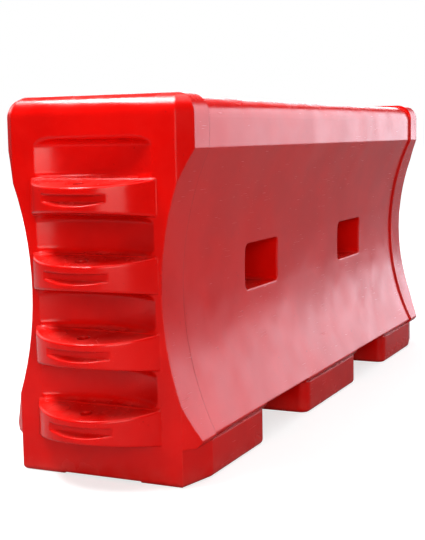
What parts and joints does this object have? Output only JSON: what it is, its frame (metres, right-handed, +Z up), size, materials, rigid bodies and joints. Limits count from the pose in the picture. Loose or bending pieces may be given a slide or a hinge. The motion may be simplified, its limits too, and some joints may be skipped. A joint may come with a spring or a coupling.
{
  "type": "water filled barrier",
  "caption": "Hollow moulded road barrier with hinge lugs on both ends, fork pockets and windows, screw filler cap, drain plug and a steel joining pin.",
  "frame": {"origin": "on the ground at mid-length and mid-width", "axes": "+X along the barrier towards the end with the joining pin, +Y across it towards the drain side, +Z up"},
  "size_m": [2.212, 0.5118, 0.912],
  "materials": {
    "shell": "glossy rotomoulded polyethylene",
    "neck": "moulded nylon",
    "cap": "moulded polypropylene",
    "plug": "moulded polypropylene",
    "seal": "black rubber",
    "steel": "hot-dip galvanised",
    "washer": "zinc plated"
  },
  "bodies": {
    "tank": {"tank_shell": "shell", "filler_neck": "neck", "drain_insert": "neck"},
    "cap_seal": {"cap_gasket": "seal"},
    "cap": {"filler_cap": "cap"},
    "plug_seal": {"drain_seal": "seal"},
    "plug": {"drain_plug": "plug"},
    "washer": {"pin_washer": "washer"},
    "pin": {"joining_pin": "steel", "pin_collar": "steel", "lifting_eye": "steel"}
  },
  "joints": [
    {"name": "cap_lift", "type": "slide", "parent": "tank", "child": "cap_seal", "axis": [0, 0, 1], "range_m": [0, 0.0181]},
    {"name": "cap_turn", "type": "hinge", "parent": "cap_seal", "child": "cap", "pos_m": [0, 0, 0.88], "axis": [0, 0, 1], "range_deg": [0, 1080]},
    {"name": "plug_draw", "type": "slide", "parent": "tank", "child": "plug_seal", "axis": [0, 1, 0], "range_m": [0, 0.0201]},
    {"name": "plug_turn", "type": "hinge", "parent": "plug_seal", "child": "plug", "pos_m": [0, 0.23, 0.05], "axis": [0, 1, 0], "range_deg": [0, 1800]},
    {"name": "pin_lift", "type": "slide", "parent": "tank", "child": "washer", "axis": [0, 0, 1], "range_m": [0, 0.76]},
    {"name": "pin_turn", "type": "hinge", "parent": "washer", "child": "pin", "pos_m": [1.057, 0, 0.8], "axis": [0, 0, 1], "continuous": true}
  ],
  "couplings": [
    {"joint": "cap_lift", "follows": "cap_turn", "m_per_rad": 0.00095493},
    {"joint": "plug_draw", "follows": "plug_turn", "m_per_rad": 0.00063662}
  ]
}
